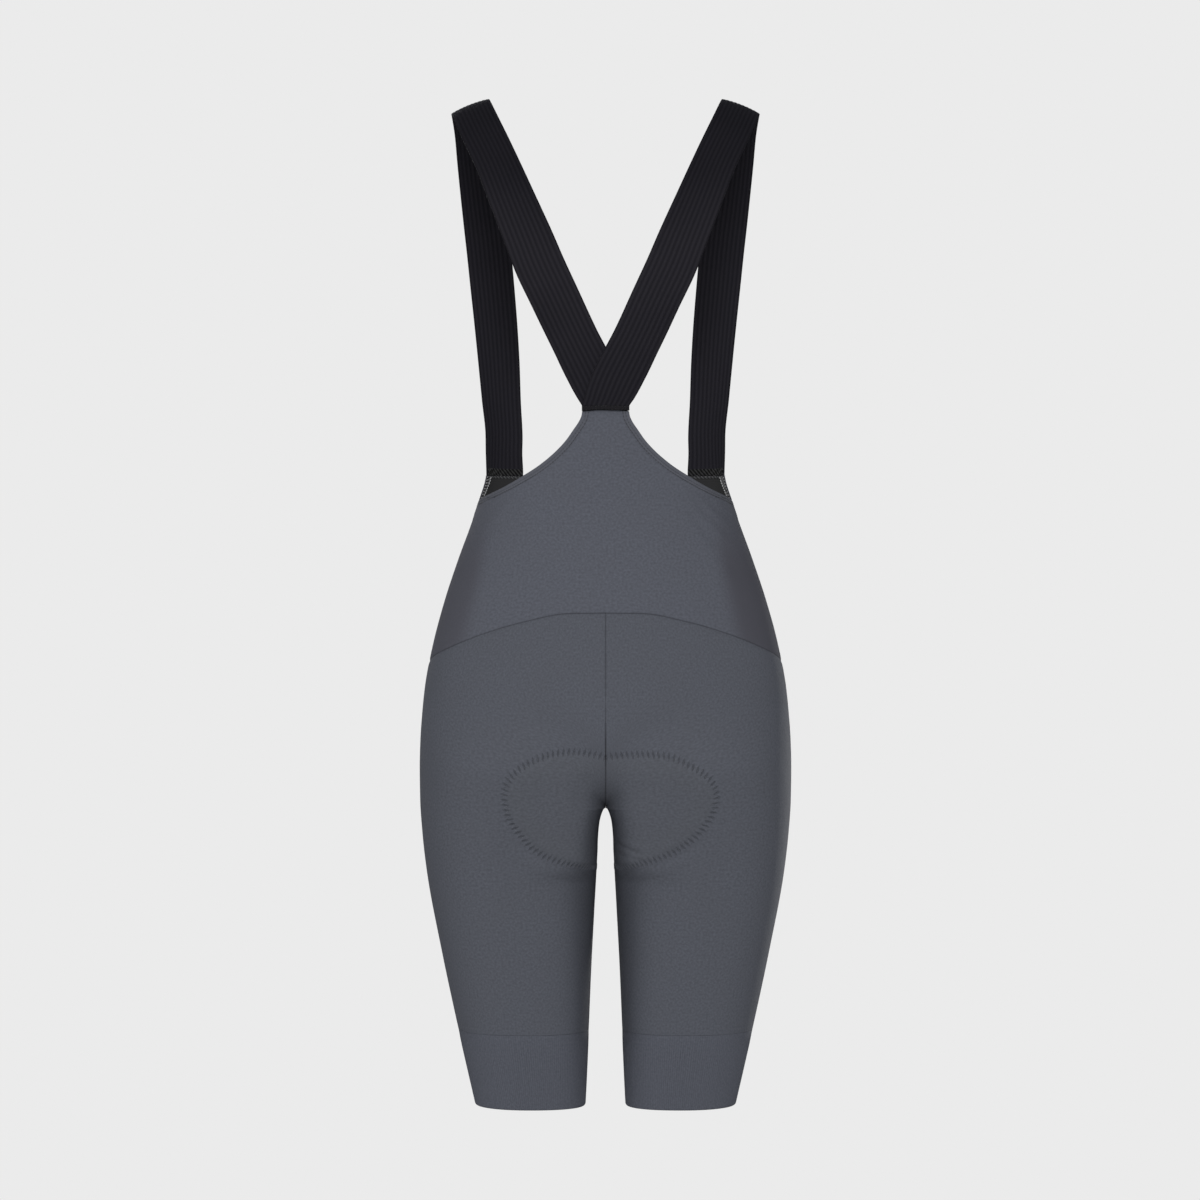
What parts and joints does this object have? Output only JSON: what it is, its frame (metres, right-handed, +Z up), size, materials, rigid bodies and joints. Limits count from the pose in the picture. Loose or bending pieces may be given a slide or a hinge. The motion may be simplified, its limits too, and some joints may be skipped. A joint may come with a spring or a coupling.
{
  "type": "cycling bib shorts",
  "caption": "Women's cycling bib shorts in filled-out worn form: knit bib and legs, ribbed leg grippers, crossed elastic straps and an inner seat pad.",
  "frame": {"origin": "midway between the undersides of the two straps where they lie over the wearer's shoulders", "axes": "+Z up, +Y out of the wearer's back, +X to the wearer's left"},
  "size_m": [0.341, 0.2271, 0.9232],
  "materials": {
    "bib_knit": "matt stretch knit, dark slate grey",
    "leg_knit": "matt warp knit, dark slate grey",
    "gripper_rib": "fine vertical rib elastic, dark slate grey",
    "strap_elastic": "ribbed woven elastic, near black",
    "junction_tape": "flat binding tape, near black",
    "pad_foam": "brushed cloth over soft foam, dark grey"
  },
  "bodies": {
    "root": {"back_bib": "bib_knit", "front_bib": "bib_knit", "leg_panel_left": "leg_knit", "leg_panel_right": "leg_knit", "leg_gripper_left": "gripper_rib", "leg_gripper_right": "gripper_rib", "strap_left": "strap_elastic", "strap_right": "strap_elastic", "strap_junction_tape": "junction_tape", "seat_pad": "pad_foam"}
  },
  "joints": []
}
